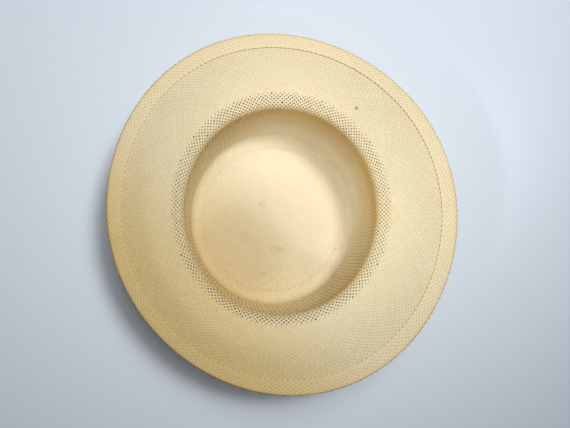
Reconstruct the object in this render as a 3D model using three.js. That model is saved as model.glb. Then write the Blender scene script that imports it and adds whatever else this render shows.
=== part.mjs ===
// A straw hat with a flat-topped oval crown and a wide brim. The whole hat is one woven piece:
// the straw runs from the middle of the crown's top, down the side, out over the brim and, at
// the brim's edge, is folded over and back into a flat hem on the brim's underside.
//
// The hat lies upside down on its crown. Millimetres: +Z runs up from the crown's flat top to
// the head opening, +Y to the front of the hat, and the origin is the middle of the flat top.

import * as THREE from 'three';

const strawThickness = 1.2;
const crownDepth = 96;
const crownTopRadius = 88.6;
const openingRadius = 90.5;
const brimRadius = 161;
const hemWidth = 14;
const hemGap = 0.4;
const facetsAround = 72;

// The head opening is an oval: this much longer than its mean radius to front and back, and
// this much shorter to the sides.
const headOval = 3;

// The middle line of the straw, from the middle of the crown's top to the fold at the brim's edge.
// out: distance from the axis. up: height above the middle line of the flat top.
// round: radius that rounds the corner. facets: straight steps in that rounding.
// oval: how much of the head oval the corner takes. brim: how much of the brim's outline and waves.
const sectionRows = [
  { place: 'middle of the top', out: 0, up: 0, round: 0, facets: 0, oval: 0, brim: 0 },
  { place: 'shoulder', out: crownTopRadius, up: 0, round: 8, facets: 5, oval: 0.65, brim: 0 },
  { place: 'belly of the side', out: 91.8, up: 55, round: 450, facets: 5, oval: 1, brim: 0 },
  { place: 'head opening', out: openingRadius, up: crownDepth, round: 6, facets: 5, oval: 1, brim: 0 },
  { place: 'rise of the brim', out: 122, up: crownDepth + 1, round: 120, facets: 4, oval: 1, brim: 0.2 },
  { place: 'fold', out: brimRadius, up: crownDepth - 4, round: 0.75, facets: 2, oval: 1, brim: 1 },
];

// How the brim's edge leaves a plain circle, besides the head oval.
// waves: how many times around. swell: how far out. at: the angle of a crest, from +X.
const outlineRows = [
  { form: 'wider to one side', waves: 1, swell: 5.5, at: 9 },
  { form: 'longer front and back', waves: 2, swell: 2.4, at: 154 },
  { form: 'hand shaping', waves: 3, swell: 1, at: 26 },
  { form: 'hand shaping', waves: 4, swell: 0.8, at: 22 },
];

// How the brim's edge rises and falls. rise: height of a crest above the mean edge.
const waveRows = [
  { form: 'lies a little aslant', waves: 1, rise: 2.5, at: 30 },
  { form: 'rolled at the two sides', waves: 2, rise: 4, at: 125 },
  { form: 'hand shaping', waves: 3, rise: 0.8, at: 80 },
];

const wave = (row, angle) => Math.cos(row.waves * (angle - THREE.MathUtils.degToRad(row.at)));
const swellAt = (angle) => outlineRows.reduce((sum, row) => sum + row.swell * wave(row, angle), 0);
const riseAt = (angle) => waveRows.reduce((sum, row) => sum + row.rise * wave(row, angle), 0);

// The corners of the middle line in the half plane at this angle around the hat, hem included.
function cornersAt(angle) {
  const oval = -headOval * Math.cos(2 * angle);
  const swell = swellAt(angle);
  const rise = riseAt(angle);
  const corners = sectionRows.map((row) => ({
    point: new THREE.Vector2(
      row.out + row.oval * oval + row.brim * swell,
      strawThickness / 2 + row.up + row.brim * rise,
    ),
    round: row.round,
    facets: row.facets,
  }));
  const [brimCorner, fold] = corners.slice(-2);
  const outward = fold.point.clone().sub(brimCorner.point).normalize();
  const upward = new THREE.Vector2(-outward.y, outward.x);
  const foldTop = fold.point.clone().addScaledVector(upward, strawThickness + hemGap);
  const cutEdge = foldTop.clone().addScaledVector(outward, -hemWidth);
  return [...corners, { ...fold, point: foldTop }, { point: cutEdge, round: 0, facets: 0 }];
}

// The middle line itself: each corner is replaced by an arc of its own radius.
function middleLineAt(angle) {
  const corners = cornersAt(angle);
  return corners.flatMap(({ point, round, facets }, index) => {
    if (round === 0) return [point];
    const back = corners[index - 1].point.clone().sub(point).normalize();
    const ahead = corners[index + 1].point.clone().sub(point).normalize();
    const halfAngle = Math.acos(THREE.MathUtils.clamp(back.dot(ahead), -1, 1)) / 2;
    const bisector = back.clone().add(ahead).normalize();
    const centre = point.clone().addScaledVector(bisector, round / Math.sin(halfAngle));
    const start = point.clone().addScaledVector(back, round / Math.tan(halfAngle)).sub(centre);
    const turn = Math.sign(ahead.cross(back)) * (Math.PI - 2 * halfAngle);
    const origin = new THREE.Vector2();
    return Array.from({ length: facets + 1 }, (_, step) =>
      start.clone().rotateAround(origin, (turn * step) / facets).add(centre));
  });
}

// The straw's closed outline at this angle: half its thickness to each side of the middle line.
function sectionAt(angle) {
  const line = middleLineAt(angle);
  const last = line.length - 1;
  const normals = line.map((point, index) => {
    const before = line[Math.max(index - 1, 0)];
    const after = line[Math.min(index + 1, last)];
    const into = (index === 0 ? after.clone().sub(point) : point.clone().sub(before)).normalize();
    const away = (index === last ? into.clone() : after.clone().sub(point)).normalize();
    const mean = into.clone().add(away).normalize();
    return new THREE.Vector2(-mean.y, mean.x).divideScalar(mean.dot(away));
  });
  const face = (side) => line.map((point, index) =>
    point.clone().addScaledVector(normals[index], (side * strawThickness) / 2));
  return [...face(-1), ...face(1).reverse()];
}

// The hat is turned like a lathe piece whose section changes as it goes round.
function makeStrawBody() {
  const geometry = new THREE.LatheGeometry(sectionAt(0), facetsAround);
  const position = geometry.getAttribute('position');
  for (let step = 0; step <= facetsAround; step += 1) {
    const angle = ((step % facetsAround) / facetsAround) * 2 * Math.PI;
    const section = sectionAt(angle);
    section.forEach((point, row) => {
      const x = point.x * Math.cos(angle);
      const y = point.x * Math.sin(angle);
      position.setXYZ(step * section.length + row, x, y, point.y);
    });
  }
  geometry.computeVertexNormals();
  const straw = new THREE.MeshStandardMaterial({ color: 0xdccb9c, roughness: 0.7, metalness: 0 });
  const body = new THREE.Mesh(geometry, straw);
  body.name = 'straw_body';
  return body;
}

const hat = new THREE.Group();
hat.add(makeStrawBody());

export default hat;
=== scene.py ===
import math
from types import SimpleNamespace

import bmesh
import bpy
import numpy as np
from mathutils import Matrix, Vector


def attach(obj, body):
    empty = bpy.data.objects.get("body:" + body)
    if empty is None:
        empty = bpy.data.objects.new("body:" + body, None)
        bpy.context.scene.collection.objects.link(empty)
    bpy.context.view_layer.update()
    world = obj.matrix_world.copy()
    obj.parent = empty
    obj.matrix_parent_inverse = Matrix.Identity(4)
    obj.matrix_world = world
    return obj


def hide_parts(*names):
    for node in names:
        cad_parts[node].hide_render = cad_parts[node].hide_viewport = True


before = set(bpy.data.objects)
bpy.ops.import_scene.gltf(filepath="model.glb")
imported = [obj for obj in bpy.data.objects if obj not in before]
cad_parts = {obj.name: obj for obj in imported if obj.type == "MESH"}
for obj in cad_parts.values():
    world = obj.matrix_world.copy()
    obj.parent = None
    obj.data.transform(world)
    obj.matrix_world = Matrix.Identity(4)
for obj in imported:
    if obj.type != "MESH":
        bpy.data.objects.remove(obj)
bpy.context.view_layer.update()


# The camera looks almost straight down into the hat, from a little behind and to one side.
# It aims at the middle of the head opening, in the plane where the crown meets the brim.
aim = Vector((0.0019, -0.0042, 0.096))
camera_distance = 0.450
lean_from_upright = math.radians(8.8)
lean_towards = math.radians(218)
camera_direction = Vector((
    math.sin(lean_from_upright) * math.cos(lean_towards),
    math.sin(lean_from_upright) * math.sin(lean_towards),
    math.cos(lean_from_upright),
))
camera_data = bpy.data.cameras.new("camera")
camera_data.sensor_width = 36
camera_data.lens = 31.77
camera_data.clip_start = 0.01
camera = bpy.data.objects.new("camera", camera_data)
sideways = (-camera_direction).cross(Vector((0, 1, 0))).normalized()
upwards = sideways.cross(-camera_direction)
camera.matrix_world = Matrix.LocRotScale(
    aim + camera_direction * camera_distance,
    Matrix((sideways, upwards, camera_direction)).transposed().to_quaternion(),
    None,
)
bpy.context.scene.collection.objects.link(camera)
bpy.context.scene.camera = camera


# The straw of the crown's flat top and of the shoulder round it. The hat is one sheet of split
# palm straws in plain weave, each straw leaning about 45 degrees off the way from the middle to
# the rim. More straws are set in, in rounds, as the crown widens.
hem_width = 0.014
hem_lift = 0.0011
section_corners = [
    # out, up, rounding, share of the head oval, share of the brim's outline and waves
    (0.0, 0.0006, 0.0, 0.0, 0.0),  # middle of the crown's top
    (0.0886, 0.0006, 0.008, 0.65, 0.0),  # shoulder
    (0.0918, 0.0556, 0.450, 1.0, 0.0),  # belly of the side
    (0.0905, 0.0966, 0.006, 1.0, 0.0),  # head opening
    (0.122, 0.0976, 0.120, 1.0, 0.2),  # rise of the brim
    (0.161, 0.0926, 0.00064, 1.0, 1.0),  # fold at the brim's edge
]
run_step = 0.0001
points_in_rounding = 13
innermost_out = 0.0005


def hat_section():
    """The section of the straw from the middle of the crown to the hem's cut edge, and its turn.

    run: distance along the straw. out, up: the place of that point on the mean section.
    turn: the integral of run over out, by which a straw's slant adds to its angle round the hat.
    """
    corners = np.array(section_corners)
    outward = corners[-1, :2] - corners[-2, :2]
    rise_length = np.hypot(*outward)
    outward /= rise_length
    over = corners[-1, :2] + hem_lift * np.array((-outward[1], outward[0]))
    hem_share = 1 - (1 - corners[-2, 4]) * hem_width / rise_length
    folded = [
        (*over, corners[-1, 2], 1.0, 1.0),
        (*(over - hem_width * outward), 0.0, 1.0, hem_share),
    ]
    corners = np.vstack((corners, folded))
    points, corner_of_point = [corners[0, :2]], [0.0]
    for index in range(1, len(corners) - 1):
        here, rounding = corners[index, :2], corners[index, 2]
        back = corners[index - 1, :2] - here
        ahead = corners[index + 1, :2] - here
        back /= np.hypot(*back)
        ahead /= np.hypot(*ahead)
        half_angle = math.acos(np.clip(back @ ahead, -1, 1)) / 2
        middle = back + ahead
        centre = here + middle / np.hypot(*middle) * rounding / math.sin(half_angle)
        start = here + back * rounding / math.tan(half_angle) - centre
        sweep = math.pi - 2 * half_angle
        sweep *= math.copysign(1, ahead[0] * back[1] - ahead[1] * back[0])
        for share in np.linspace(0, 1, points_in_rounding):
            c, s = math.cos(sweep * share), math.sin(sweep * share)
            points.append(centre + (c * start[0] - s * start[1], s * start[0] + c * start[1]))
            corner_of_point.append(index if share == 0.5 else np.nan)
    points.append(corners[-1, :2])
    corner_of_point.append(len(corners) - 1.0)
    points, corner_of_point = np.array(points), np.array(corner_of_point)
    lengths = np.hypot(*np.diff(points, axis=0).T)
    point_run = np.concatenate(([0], np.cumsum(lengths)))
    run = np.arange(0.0, point_run[-1], run_step)
    out = np.interp(run, point_run, points[:, 0])
    up = np.interp(run, point_run, points[:, 1])
    known = ~np.isnan(corner_of_point)
    shares = corners[corner_of_point[known].astype(int), 3:5]
    along_out, along_up = np.gradient(out, run), np.gradient(up, run)
    length = np.hypot(along_out, along_up)
    return SimpleNamespace(
        run=run, out=out, up=up, turn=np.cumsum(run_step / np.maximum(out, innermost_out)),
        face_out=-along_up / length, face_up=along_out / length,
        oval=np.interp(run, point_run[known], shares[:, 0]),
        brim=np.interp(run, point_run[known], shares[:, 1]),
    )


section = hat_section()
head_oval = 0.003
# Waves round the brim: how many, how high, and the angle of a crest in degrees.
brim_outline = [(1, 0.0055, 9), (2, 0.0024, 154), (3, 0.0010, 26), (4, 0.0008, 22)]
brim_waves = [(1, 0.0025, 30), (2, 0.0040, 125), (3, 0.0008, 80)]


def waves_round(rows, angle):
    """The sum of these waves at this angle round the hat."""
    return sum(high * np.cos(count * (angle - math.radians(at))) for count, high, at in rows)


def on_the_hat(run, angle, lift):
    """Places on the hat: distance along the straw, angle round the hat, height off the sheet."""
    def read(values):
        return np.interp(run, section.run, values)

    out = read(section.out) + read(section.face_out) * lift
    out += read(section.oval) * -head_oval * np.cos(2 * angle)
    out += read(section.brim) * waves_round(brim_outline, angle)
    up = read(section.up) + read(section.face_up) * lift
    up += read(section.brim) * waves_round(brim_waves, angle)
    return np.stack((out * np.cos(angle), out * np.sin(angle), up), axis=1)


def turn_at(run):
    return float(np.interp(run, section.run, section.turn))


def brim_run_at(radius):
    """The distance along the straw where the brim, from the opening outwards, has this radius."""
    past_the_side, before_the_hem = section.run > 0.18, section.run < 0.26
    part = past_the_side & before_the_hem & (section.face_up > 0.5)
    return float(np.interp(radius, section.out[part], section.run[part]))


# Places along the straw: the lip of the head opening, the end of the openwork ring round it, the
# fold at the brim's edge and the hem's cut edge.
past_the_top = 0.12
opening_run = float(section.run[np.argmax((section.face_up > 0.7) & (section.run > past_the_top))])
openwork_end = brim_run_at(0.1022)
hem_end = float(section.run[-1])
fold_run = hem_end - hem_width

# The rounds of the weave. Each of the crown's top starts at a distance along the straw, and has
# that many straws leaning each way. The last of them is the crown's side.
top_starts = [(0.0084, 26), (0.0108, 36), (0.0146, 48), (0.0196, 64), (0.0262, 86), (0.0350, 116)]
side_start = 0.0470
straws_side = 156
slant_side = math.radians(48)


def make_round(start_run, end_run, straws, straws_before, slant):
    """A round of the weave: this many straws lean each way from one run to the next, and cross
    in an even number of rows. straws_before is the number in the round inside it."""
    start, end = turn_at(start_run), turn_at(end_run)
    rows = 2 * round((end - start) * straws * math.tan(slant) / math.pi / 2)
    return SimpleNamespace(
        start=start, straws=straws, before=straws_before, rows=rows,
        slope=rows * math.pi / (end - start) / straws, step=(end - start) / rows / 2,
    )


starts, counts = zip(*top_starts, (side_start, straws_side))
top_rounds = [
    make_round(starts[row], starts[row + 1], counts[row], counts[max(row - 1, 0)], slant_side)
    for row in range(len(top_starts))
]
side_round = make_round(side_start, openwork_end, straws_side, counts[-2], slant_side)

# Straws are four-sided and flat. They pass over and under each other by this lift, and where one
# is tucked away its middle goes no lower than the floor allows.
straw_lift = 0.00029
straw_thickness = 0.00044
lowest_lift = -0.00037
loom_spacing = 3


def lay_on_loom(shaping, first, count, steps):
    """Adds closed four-sided straws side by side in x, each one y long to a half crossing."""
    one_straw = bmesh.new()
    ring = bmesh.ops.create_circle(one_straw, segments=4, radius=1.0)["verts"]
    upright = Matrix.Rotation(math.pi / 2, 3, "X")
    bmesh.ops.rotate(one_straw, verts=ring, cent=(0, 0, 0), matrix=upright)
    bmesh.ops.translate(one_straw, verts=ring, vec=(loom_spacing * first, 0, 0))
    bmesh.ops.spin(
        one_straw, geom=ring + one_straw.edges[:], cent=(0, 0, 0), axis=(0, 0, 1), dvec=(0, 1, 0),
        angle=0, steps=steps,
    )
    open_ends = [edge for edge in one_straw.edges if edge.is_boundary]
    bmesh.ops.holes_fill(one_straw, edges=open_ends, sides=4)
    bmesh.ops.recalc_face_normals(one_straw, faces=one_straw.faces)
    for edge in one_straw.edges:
        one, other = edge.verts
        along_a_side = abs(one.co.z) < 0.5 and abs(other.co.z) < 0.5
        round_an_end = one.co.y == other.co.y and one.co.y in (0, steps)
        edge.smooth = not (along_a_side or round_an_end)
    for face in one_straw.faces:
        face.smooth = True
    # Faces come out of the spin in any order. Sorted along the straw they are the same each run.
    along_first = Vector((2, 10, 1))
    one_straw.faces.sort(key=lambda face: along_first.dot(face.calc_center_median()))
    mesh = bpy.data.meshes.new("loom")
    one_straw.to_mesh(mesh)
    one_straw.free()
    straw_on_loom = bpy.data.objects.new("loom", mesh)
    bpy.context.scene.collection.objects.link(straw_on_loom)
    side_by_side = straw_on_loom.modifiers.new("side_by_side", "ARRAY")
    side_by_side.count = count
    side_by_side.use_relative_offset = False
    side_by_side.use_constant_offset = True
    side_by_side.constant_offset_displace = (loom_spacing, 0, 0)
    laid = bpy.data.meshes.new_from_object(
        straw_on_loom.evaluated_get(bpy.context.evaluated_depsgraph_get())
    )
    shaping.from_mesh(laid)
    bpy.data.objects.remove(straw_on_loom)
    bpy.data.meshes.remove(mesh)
    bpy.data.meshes.remove(laid)


def read_loom(mesh):
    """Each vertex's straw number, step along it, and place on its four-sided section."""
    loom = np.empty(len(mesh.vertices) * 3, np.float32)
    mesh.vertices.foreach_get("co", loom)
    loom = loom.reshape(-1, 3)
    number = np.rint(loom[:, 0] / loom_spacing).astype(int)
    across = np.rint(loom[:, 0] - loom_spacing * number)
    return number, np.rint(loom[:, 1]), across, np.rint(loom[:, 2])


def lay_out_straws(mesh, columns):
    """The straws' own UV map: they lie flat side by side in columns, each with its four sides."""
    margin_along, margin_around = 0.02, 0.04
    number, step, across, top = read_loom(mesh)
    side = np.select([across > 0, top > 0, across < 0], [0, 1, 2], 3)
    corner = np.empty(len(mesh.loops), np.int32)
    mesh.loops.foreach_get("vertex_index", corner)
    corner = corner.reshape(-1, 4)
    sides, steps = side[corner], step[corner]
    length = steps.max() + 2

    # An end is a small square past the straw's last step. A side is one of four long strips.
    is_end = np.ptp(steps, axis=1)[:, None] == 0
    face_side = np.where((sides == 0).any(1) & (sides == 3).any(1), 3, sides.min(1))[:, None]
    outward = np.where(steps > 0, 1, -1) * (0.5 + 0.4 * across[corner])
    along = (1 + steps + np.where(is_end, outward, 0)) / length
    around = np.where(is_end, 0.5 + 0.4 * top[corner], (face_side + (sides != face_side)) / 4)
    rows = -(-(number.max() + 1) // columns)
    u = (number[corner] // rows + margin_along + (1 - 2 * margin_along) * along) / columns
    v = (number[corner] % rows + margin_around + (1 - 2 * margin_around) * around) / rows
    uv_map = mesh.uv_layers.new(name="OFBake")
    uv_map.uv.foreach_set("vector", np.stack((u, v), axis=2).astype(np.float32).ravel())


class Shade:
    """A socket of a material's nodes. Operators on it add Math nodes, and node() adds any other."""

    def __init__(self, tree, socket=None):
        self.tree, self.socket = tree, socket

    def node(self, kind, settings=(), output=0, **inputs):
        """A node of this kind. An input is named as its socket is, or _0, _1 ... by its place."""
        made = self.tree.nodes.new("ShaderNode" + kind)
        for name, value in dict(settings).items():
            setattr(made, name, value)
        for name, value in inputs.items():
            key = int(name[1:]) if name[1:].isdigit() else name.replace("_", " ")
            if isinstance(value, Shade):
                self.tree.links.new(value.socket, made.inputs[key])
            else:
                made.inputs[key].default_value = value
        return Shade(self.tree, made.outputs[output])

    def math(self, operation, one, other):
        return self.node("Math", {"operation": operation}, _0=one, _1=other)

    def __add__(self, other):
        return self.math("ADD", self, other)

    def __sub__(self, other):
        return self.math("SUBTRACT", self, other)

    def __rsub__(self, other):
        return self.math("SUBTRACT", other, self)

    def __mul__(self, other):
        return self.math("MULTIPLY", self, other)

    def __pow__(self, other):
        return self.math("POWER", self, other)

    def __abs__(self):
        return self.math("ABSOLUTE", self, 0.0)

    __radd__ = __add__
    __rmul__ = __mul__

    def vector(self, operation, other):
        """The number that a vector operation gives for this vector and another."""
        return self.node("VectorMath", {"operation": operation}, output=1, _0=self, _1=other)

    def smooth_step(self, low, high, at_low, at_high):
        """Runs smoothly from one value to the other as this socket goes from low to high."""
        return self.node(
            "MapRange", {"interpolation_type": "SMOOTHSTEP"},
            _0=self, _1=low, _2=high, _3=at_low, _4=at_high,
        )

    def blend(self, one, other, how="MIX"):
        """A colour that goes from one to the other as this socket goes from 0 to 1."""
        settings = {"data_type": "RGBA", "blend_type": how, "clamp_factor": True}
        return self.node("Mix", settings, output=2, _0=self, _6=one, _7=other)


# Dried stains on the crown's inside, painted shade over the lower side of the crown's inside, away
# from the lamps, and a dark spot of painted shade round the hole worn in the brim, for the shade
# seen through it: place, radius, strength.
stains_and_painted_shade = [
    ((-0.0091, -0.0598, 0.0012), 0.0016, 0.75), ((0.0091, -0.0342, 0.0012), 0.0050, 0.22),
    ((0.0200, -0.0005, 0.0012), 0.0014, 0.35), ((-0.0127, 0.0154, 0.0012), 0.0016, 0.40),
    ((-0.0464, -0.0491, 0.0012), 0.0020, 0.30), ((0.0691, -0.0329, 0.0012), 0.0016, 0.45),
    ((-0.0105, 0.0143, 0.0012), 0.0070, 0.12), ((0.0026, -0.0342, 0.0012), 0.0080, 0.10),
    # Of these, the spot at the brim's worn hole and the wide last one are painted shade; the rest
    # are stains.
    ((-0.0297, -0.0215, 0.0012), 0.0090, 0.10), ((0.0684, 0.0950, 0.0980), 0.0024, 1.0),
    ((-0.0460, -0.0400, 0.0012), 0.0720, 0.26),
]


def make_straw():
    """Split palm, cream to pale gold, each straw its own tone, with fine fibres along it. Hands
    have browned the folds and partly the lip. Painted shade browns the hem's edge, the lip and the
    crown wall's side away from the lamps, darkens the straws' edges and the hat's side away from
    the lamps, and painted light makes the lit part of the crown's inside paler."""
    pale_gold, deep_gold = (0.805, 0.705, 0.470, 1), (0.865, 0.775, 0.540, 1)
    streak_gold, mottle_gold = (0.795, 0.665, 0.405, 1), (0.810, 0.685, 0.420, 1)
    wear_and_shade_orange, pressed_cream = (0.850, 0.550, 0.160, 1), (0.930, 0.800, 0.520, 1)
    gap_shade_brown, openwork_hole_shade_brown = (0.520, 0.370, 0.180, 1), (0.300, 0.180, 0.060, 1)
    painted_light_cream, painted_side_shade_tint = (0.870, 0.815, 0.640, 1), (0.92, 0.82, 0.58, 1)
    stain_and_shade_brown = (0.420, 0.290, 0.110, 1)
    towards_painted_light, towards_painted_side_shade = (0.70, 0.70, -2.4), (-0.695, -0.719, 0.0)

    material = bpy.data.materials.new("straw")
    material.use_nodes = True
    tree = material.node_tree
    shader = tree.nodes["Principled BSDF"]
    shade = Shade(tree)
    fibre = shade.node("Attribute", {"attribute_name": "fibre"}, output=1)
    along = shade.node("SeparateXYZ", output=0, Vector=fibre)
    across = shade.node("SeparateXYZ", output=1, Vector=fibre)
    number = shade.node("SeparateXYZ", output=2, Vector=fibre)
    wear = shade.node("Attribute", {"attribute_name": "wear"}, output=2)
    openwork = shade.node("Attribute", {"attribute_name": "openwork"}, output=2)
    pressed = shade.node("Attribute", {"attribute_name": "pressed"}, output=2)
    place = shade.node("TexCoord", output=3)

    tone = shade.node("TexWhiteNoise", {"noise_dimensions": "1D"}, W=number)
    streak_place = shade.node("CombineXYZ", X=along * 90, Y=across * 0.6, Z=number * 7.3)
    streak = shade.node("TexNoise", Vector=streak_place, Scale=1.0, Detail=2.0)
    mottle = shade.node("TexNoise", Vector=place, Scale=28.0, Detail=3.0)
    colour = tone.blend(pale_gold, deep_gold)
    colour = ((streak - 0.42) * 1.6).blend(colour, streak_gold)
    colour = ((mottle - 0.45) * 1.2).blend(colour, mottle_gold)
    # Wear at the fold; painted shade at the hem's edge, under it, and on one side of the crown's
    # wall and lip.
    colour = (wear * (mottle + 0.35)).blend(colour, wear_and_shade_orange)
    colour = (pressed * 0.60).blend(colour, pressed_cream)
    # Painted shade along each straw's edges, where the dark gaps between straws lie. In the
    # openwork ring it is darker still, for the dark seen through the holes.
    edge = abs(across) ** 2.5
    gap_shade_colour = openwork.blend(gap_shade_brown, openwork_hole_shade_brown)
    colour = (edge * (0.75 - pressed * 0.08)).blend(colour, gap_shade_colour)
    # Painted light: the part of the crown's inside that the lamps light most is painted paler
    # cream.
    painted_light = place.vector("DOT_PRODUCT", towards_painted_light).smooth_step(-0.055, 0.030, 0.0, 0.55)
    colour = painted_light.blend(colour, painted_light_cream)
    # Painted shade: the side of the hat away from the lamps is painted darker and more golden.
    painted_side_shade = place.vector("DOT_PRODUCT", towards_painted_side_shade).smooth_step(0.030, 0.130, 0.0, 1.0)
    colour = painted_side_shade.blend(colour, painted_side_shade_tint, "MULTIPLY")
    # Stains, with painted shade round the brim's worn hole and over the lower side of the crown's
    # inside.
    for middle, radius, strength in stains_and_painted_shade:
        distance = place.vector("DISTANCE", middle)
        spot = distance.smooth_step(radius * 0.4, radius, strength, 0.0)
        colour = spot.blend(colour, stain_and_shade_brown)
    fibre_place = shade.node("CombineXYZ", X=along * 130, Y=across * 5, Z=number * 3.1)
    fibres = shade.node("TexNoise", Vector=fibre_place, Scale=1.0, Detail=2.0)
    bump = shade.node("Bump", Strength=0.35, Distance=0.00012, Height=fibres)
    tree.links.new(colour.socket, shader.inputs["Base Color"])
    tree.links.new((0.50 + fibres * 0.22).socket, shader.inputs["Roughness"])
    tree.links.new(bump.socket, shader.inputs["Normal"])
    shader.inputs["IOR"].default_value = 1.45
    shader.inputs["Specular IOR Level"].default_value = 0.35
    return material


straw = make_straw()


def finish_weave(mesh, fibre, **shares):
    """fibre: distance along the straw, side to side, and the straw's number.
    shares: how far it is worn and painted with shade, how open its weave is, and how far it is
    pressed into the hem, from 0 to 1.
    """
    attribute = mesh.attributes.new("fibre", "FLOAT_VECTOR", "POINT")
    attribute.data.foreach_set("vector", np.stack(fibre, axis=1).astype(np.float32).ravel())
    for name, values in shares.items():
        attribute = mesh.attributes.new(name, "FLOAT", "POINT")
        attribute.data.foreach_set("value", np.clip(values, 0, 1).astype(np.float32))
    mesh.materials.append(straw)
    piece = bpy.data.objects.new(mesh.name, mesh)
    bpy.context.scene.collection.objects.link(piece)
    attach(piece, "root")
    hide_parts("straw_body")


# The straws are set a little closer round one side of the hat than round the other.
brim_density = 0.08
densest_at = math.radians(75)


def nearness(away, reach):
    """1 at a place, falling smoothly to almost nothing at twice the reach from it."""
    return np.exp(-((away / reach) ** 2))


def move_ring(run, angle):
    """The openwork ring lies a little farther out at the front of the hat than at the back."""
    farther_out, farthest_at = 0.0026, math.radians(82)
    in_the_side, in_the_brim = opening_run - 0.040, openwork_end + 0.030
    share = np.interp(run, (in_the_side, opening_run, openwork_end, in_the_brim), (0, 1, 1, 0))
    return run + farther_out * share * np.cos(angle - farthest_at)


def openness(run, angle):
    """0 in tight weave and about 1 in the openwork ring, which starts at the lip of the opening
    and is a little more open at the front and the back of the hat than at its sides."""
    starts_before, opens_over = 0.0045, 0.0040
    ends_past, closes_over = 0.0015, 0.0045
    front = math.radians(85)
    rise = np.clip((move_ring(run, angle) - (opening_run - starts_before)) / opens_over, 0, 1)
    fall = np.clip((openwork_end + ends_past - run) / closes_over, 0, 1)
    return rise * fall * (0.95 + 0.12 * np.cos(2 * (angle - front)))


def push_straws_aside(run, angle, radius, hole_run, hole_angle, half_width):
    """Moves straws away from a hole. half_width may differ from straw to straw."""
    push_reach, no_distance = 0.0024, 1e-7
    away_run = run - hole_run
    away_angle = (angle - hole_angle + math.pi) % (2 * math.pi) - math.pi
    distance = np.hypot(away_run, away_angle * radius) + no_distance
    swell = half_width ** 2 * nearness(distance, push_reach)
    stretch = np.sqrt(distance ** 2 + swell) / distance - 1
    return run + away_run * stretch, angle + away_angle * stretch


def between_straws(one_round, run, angle):
    """The gap between straws that is nearest to this place, as a run and an angle."""
    row = round((turn_at(run) - one_round.start) / one_round.step / 2 - 0.5)
    gap_run = float(np.interp(
        one_round.start + (2 * row + 1) * one_round.step, section.turn, section.run))
    pitch = 2 * math.pi / one_round.straws
    offset = (row + 0.5) / 2 + 0.5
    return gap_run, (round(angle / pitch - offset) + offset) * pitch


def open_last_row(run, angle, radius):
    """A row of larger holes, one to every third straw, ends the openwork ring."""
    holes, narrowest, widest = straws_side // 3, 0.0001, 0.0009
    apart = 3 * 2 * math.pi / straws_side
    row_run, row_angle = between_straws(side_round, openwork_end - 0.0004, 0.0)
    hole = np.rint((angle - row_angle) / apart)
    half_widths = np.random.default_rng(52).uniform(narrowest, widest, holes)
    return push_straws_aside(
        run, angle, radius, row_run, row_angle + hole * apart,
        half_widths[hole.astype(int) % holes])


# The brim's round of straws, in which a fourth straw has joined every three.
straws_brim = 208
slant_brim = math.radians(53)
brim_round = make_round(openwork_end, hem_end, straws_brim, straws_side, slant_brim)

# Holes that wear has opened in the brim and the ring: angle in degrees, radius, half width.
worn_holes = [
    (54.8, 0.1148, 0.0012), (89.8, 0.0930, 0.0013), (136.9, 0.0930, 0.0013),
    (65.4, 0.1333, 0.0010), (-31.6, 0.1301, 0.0011),
]

# Where the hem's two ends meet its cut edge steps out and in: angle, half width, shift.
hem_join = [(63.5, 0.4, -0.0014), (61.7, 0.6, 0.0009)]


def open_worn_holes(run, angle, radius, line_run, line_angle):
    """Moves straws off the worn holes as one, by what their middle lines have to move."""
    for degrees, hole_radius, half_width in worn_holes:
        hole_angle = math.radians(degrees)
        hole_angle += brim_density * math.sin(hole_angle - densest_at)
        hole_run = brim_run_at(hole_radius)
        nearest = side_round if hole_run < openwork_end else brim_round
        pushed_run, pushed_angle = push_straws_aside(
            line_run, line_angle, radius,
            *between_straws(nearest, hole_run, hole_angle), half_width)
        run = run + pushed_run - line_run
        angle = angle + pushed_angle - line_angle
    return run, angle


def rubbed_and_painted_shade(run, angle):
    """How far the straw is browned. At the fold it is wear. The hem's cut edge is partly browned
    cut ends and partly painted shade. The brim just under that edge gets painted shade, the orange
    of the shadow in the step there. Inside the lip and down the crown's side it is partly where
    hands hold the hat and partly painted shade, strongest on the side of the wall that faces away
    from the lamps."""
    share = 0.7 * nearness(run - fold_run, 0.0030) + 0.4 * (run > hem_end - 0.0008)
    # Painted shade: the brim under the hem's cut edge is tinted orange like the shadow in the step.
    share += 0.5 * nearness(run - fold_run + hem_width, 0.0010)
    # Partly a stain where hands hold the hat, partly painted shade on the wall's side away from the
    # lamps.
    held_and_shaded_at = math.radians(40)
    held_and_shaded_side = 0.58 + 0.42 * np.cos(angle - held_and_shaded_at)
    share += held_and_shaded_side * nearness(run - opening_run + 0.0120, 0.0110)
    share += 0.4 * held_and_shaded_side * nearness(run - opening_run + 0.0350, 0.0300)
    return share


def bundle(of_round, hand, first_step=0, last_step=None):
    """Straws of a round that lean to the right (hand 1) or the left (hand -1), as far as they
    show. A step is half a crossing. Past the round's last step they are tucked under the next."""
    last_step = 2 * of_round.rows if last_step is None else last_step
    return SimpleNamespace(round=of_round, hand=hand, first_step=first_step, last_step=last_step)


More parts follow.
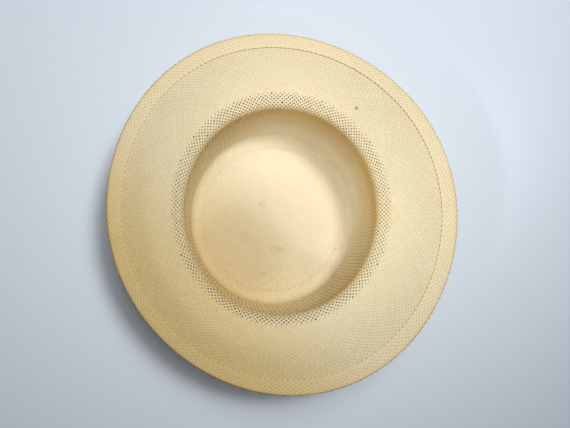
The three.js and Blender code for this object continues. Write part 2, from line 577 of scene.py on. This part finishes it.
def set_up_loom(name, bundles, columns):
    """The straws of these bundles as one mesh, and for each vertex what it is part of."""
    shaping = bmesh.new()
    firsts, total = [], 0
    for part in bundles:
        lay_on_loom(shaping, total, part.round.straws, part.last_step - part.first_step)
        firsts.append(total)
        total += part.round.straws
    mesh = bpy.data.meshes.new(name)
    shaping.to_mesh(mesh)
    shaping.free()
    lay_out_straws(mesh, columns)
    number, row_step, across, top = read_loom(mesh)
    bundle_of = np.searchsorted(firsts, number, side="right") - 1

    def of_bundle(values):
        return np.array(values, float)[bundle_of]

    return mesh, SimpleNamespace(
        number=number, across=across, top=top,
        in_bundle=number - np.array(firsts)[bundle_of],
        hand=of_bundle([part.hand for part in bundles]),
        step=row_step + of_bundle([part.first_step for part in bundles]),
        straws=of_bundle([part.round.straws for part in bundles]),
        before=of_bundle([part.round.before for part in bundles]),
        slope=of_bundle([part.round.slope for part in bundles]),
        start=of_bundle([part.round.start for part in bundles]),
        turn_step=of_bundle([part.round.step for part in bundles]),
        last_step=of_bundle([2 * part.round.rows for part in bundles]),
    )


def uneven(bundles, at):
    """How each straw sways about its line, and how wide it is beside the next one."""
    sway_size, sways_by_step, width_spread = 0.00007, (0.31, 0.83, 1.7), 0.06
    phases, widths = [], []
    for part in bundles:
        chance = np.random.default_rng([part.round.straws, part.hand + 1])
        phases.append(chance.uniform(0, 2 * math.pi, (part.round.straws, 3)))
        widths.append(chance.normal(1, width_spread, part.round.straws))
    phases, widths = np.concatenate(phases), np.concatenate(widths)
    sway = sum(
        np.sin(at.step * by_step + phases[at.number, row])
        for row, by_step in enumerate(sways_by_step)
    )
    return sway_size * sway, widths[at.number]


def weave(name, bundles, columns=1):
    """One piece of woven straw, made of bundles: straws of one round that lean to one hand."""
    mesh, at = set_up_loom(name, bundles, columns)
    turned = at.step * at.turn_step
    run = np.interp(at.start + turned, section.turn, section.run)
    place = at.in_bundle + np.where(at.hand < 0, 0.5, 0.0)
    angle = 2 * math.pi * place / at.straws + at.hand * at.slope * turned

    # Over and under by turns, flatter at the fold and the cut edge, and tucked down at the end.
    tuck_depth, tucked_steps = 0.0005, 2
    near_edge = nearness(run - fold_run, 0.0015) + (run > hem_end - 0.0018)
    lift = at.hand * straw_lift * np.sin(at.step * math.pi / 2) * (1 - 0.6 * near_edge)
    tucked = np.clip((at.step - at.last_step) / tucked_steps, 0, 1)
    lift = np.maximum(lift - tuck_depth * tucked, lowest_lift) + at.top * straw_thickness / 2

    # Where a round starts, its straws spring from the fewer straws before it.
    gained = at.straws - at.before
    fade = np.exp(-np.clip(at.step, 0, None) / 4)
    spring = (2 * math.pi / at.before - 2 * math.pi / at.straws) * fade
    packed = 1 + spring * gained * np.cos(gained * angle)

    # Straws almost touch in tight weave, overlap a little at edges and joints, and are narrower
    # than their pitch in the openwork ring.
    sway, widths = uneven(bundles, at)
    slant = np.arctan(at.slope)
    radius = np.interp(run, section.run, section.out)
    pitch = 2 * math.pi * radius / at.straws * np.cos(slant)
    open_share = openness(run, angle)
    near_joint = nearness(at.step, 4) + nearness(at.step - at.last_step, 3)
    near_joint *= run < hem_end - 0.02
    fill = 0.97 + 0.09 * near_edge + 0.06 * near_joint - 0.37 * open_share
    half_width = pitch / 2 * fill * widths * packed ** 0.7
    angle = angle + spring * np.sin(gained * angle)
    line_run, line_angle = run, angle
    off_line = at.across * half_width + sway

    # At the hem's cut edge all straws are trimmed off along one line.
    trimmed = run > hem_end - run_step
    run = run - np.where(trimmed, 0, at.hand * np.sin(slant) * off_line)
    angle = angle + np.where(trimmed, 1 / np.cos(slant), np.cos(slant)) * off_line / radius

    run, angle = open_last_row(run, angle, radius)
    run, angle = open_worn_holes(run, angle, radius, line_run, line_angle)
    angle = angle - brim_density * np.sin(angle - densest_at)
    run = move_ring(run, angle)
    in_hem = np.clip((run - fold_run - 0.004) / 0.008, 0, 1)
    for degrees, width, shift in hem_join:
        away = (np.degrees(angle) - degrees + 180) % 360 - 180
        run = run + in_hem * shift * nearness(away, width)
    mesh.vertices.foreach_set("co", on_the_hat(run, angle, lift).astype(np.float32).ravel())
    mesh.update()

    straw_number = at.in_bundle + np.where(at.hand > 0, at.straws, 0) + 0.5
    finish_weave(
        mesh, (run / np.cos(slant), at.across, straw_number), wear=rubbed_and_painted_shade(run, angle),
        openwork=open_share, pressed=(run - fold_run - 0.001) / 0.001)


# The crown's flat top is one piece. The shoulder is the first steps of the side's own straws.
side_steps_on_top = 52
weave("crown_top_weave", [
    bundle(one, hand, -1, 2 * one.rows + 2) for one in top_rounds for hand in (1, -1)
], columns=4)
weave("crown_shoulder_weave", [
    bundle(side_round, hand, -1, side_steps_on_top) for hand in (1, -1)
], columns=4)


# The start of the work, in the middle of the crown's top. Eight straws each way are woven square
# and laid flat, and the square's corners dip under the straws of the first round.
def weave_square(name, count, pitch):
    """A small square of plain weave."""
    dip_starts, dip_length, dip_depth = 0.0074, 0.0012, 0.00055
    shaping = bmesh.new()
    for first in (0, count):
        lay_on_loom(shaping, first, count, 2 * count)
    mesh = bpy.data.meshes.new(name)
    shaping.to_mesh(mesh)
    shaping.free()
    lay_out_straws(mesh, 1)
    number, step, across, top = read_loom(mesh)
    turned = number >= count
    line = (number % count - (count - 1) / 2) * pitch + across * pitch * 0.51
    along = (step - count) / 2 * pitch
    over = np.where(turned, -1, 1) * np.where(number % 2 == 0, 1, -1)
    x, y = np.where(turned, along, line), np.where(turned, line, along)
    radius, angle = np.hypot(x, y), np.arctan2(y, x) + math.pi / 4
    dip = np.clip((radius - dip_starts) / dip_length, 0, 1)
    lift = over * straw_lift * np.sin(step * math.pi / 2) - dip_depth * dip
    lift = np.maximum(lift, lowest_lift) + top * straw_thickness / 2
    mesh.vertices.foreach_set("co", on_the_hat(radius, angle, lift).astype(np.float32).ravel())
    mesh.update()
    none = np.zeros(len(number))
    finish_weave(mesh, (along, across, number + 0.5), wear=none, openwork=none, pressed=none)


weave_square("crown_start_weave", 8, 0.0022)


# The crown's side and the openwork ring round the head opening. The same straws run on from the
# crown's top, down the side and out round the opening, where they are set apart for air.
side_last_step = 2 * side_round.rows + 2
weave("crown_side_straw_leaning_right", [bundle(side_round, 1, side_steps_on_top, side_last_step)])
weave("crown_side_straw_leaning_left", [bundle(side_round, -1, side_steps_on_top, side_last_step)])


# The brim. A fourth straw joins every three, the weave is tight again, and at the edge it is
# folded over into a hem that lies flat on the brim's underside.
weave("brim_straw_leaning_right", [bundle(brim_round, 1)])
weave("brim_straw_leaning_left", [bundle(brim_round, -1)])


# The floor that the hat lies on, upside down on its crown: a wide flat sheet of pale blue-white
# cloth, drawn smooth and without folds.
shaping = bmesh.new()
bmesh.ops.create_grid(shaping, x_segments=1, y_segments=1, size=1.5)
floor_mesh = bpy.data.meshes.new("floor")
shaping.to_mesh(floor_mesh)
shaping.free()
floor = bpy.data.objects.new("floor", floor_mesh)
bpy.context.scene.collection.objects.link(floor)
cloth = bpy.data.materials.new("floor_cloth")
cloth.use_nodes = True
cloth_shader = cloth.node_tree.nodes["Principled BSDF"]
cloth_shader.inputs["Base Color"].default_value = (0.80, 0.88, 0.99, 1)
cloth_shader.inputs["Roughness"].default_value = 0.9
floor_mesh.materials.append(cloth)


# The light of the room, soft and almost white. Most of it comes from above and to one side, and
# two narrow lamps reach into the crown, because its side would otherwise stand in shadow.
def soft_spot(name, place, aim_at, spread, softness, power, colour):
    """A soft lamp, brightest where it aims, that fades to nothing at the edge of its spread."""
    lamp = bpy.data.lights.new(name, "SPOT")
    lamp.shadow_soft_size = softness
    lamp.spot_size = math.radians(spread)
    lamp.spot_blend = 1.0
    lamp.energy = power
    lamp.color = colour
    holder = bpy.data.objects.new(name, lamp)
    holder.location = place
    holder.rotation_euler = (Vector(aim_at) - Vector(place)).to_track_quat("-Z", "Y").to_euler()
    bpy.context.scene.collection.objects.link(holder)


soft_spot(
    "lamp_above", place=(0.24, 0.21, 1.20), aim_at=(0.03, 0.31, 0.08),
    spread=72, softness=0.11, power=25.6, colour=(1.0, 1.0, 0.96))
soft_spot(
    "lamp_into_the_crown", place=(-0.02, -0.22, 0.60), aim_at=(0.004, 0.084, 0.052),
    spread=14.5, softness=0.05, power=7.6, colour=(0.98, 0.98, 0.98))
soft_spot(
    "lamp_across_the_crown", place=(-0.46, -0.32, 0.62), aim_at=(0.084, 0.000, 0.066),
    spread=14, softness=0.05, power=12.6, colour=(0.96, 1.0, 0.97))

softbox = bpy.data.lights.new("softbox", "AREA")
softbox.shape = "DISK"
softbox.size = 0.6
softbox.energy = 5.6
softbox_holder = bpy.data.objects.new("softbox", softbox)
softbox_holder.location = (0.12, 0.22, 1.15)
softbox_holder.rotation_euler = Vector((-0.12, -0.22, -1.10)).to_track_quat("-Z", "Y").to_euler()
softbox_holder.visible_camera = False
bpy.context.scene.collection.objects.link(softbox_holder)

room = bpy.data.worlds.new("room")
room.use_nodes = True
room.node_tree.nodes["Background"].inputs["Color"].default_value = (0.95, 0.96, 1.0, 1)
room.node_tree.nodes["Background"].inputs["Strength"].default_value = 0.08
bpy.context.scene.world = room
bpy.context.scene.view_settings.view_transform = "Standard"
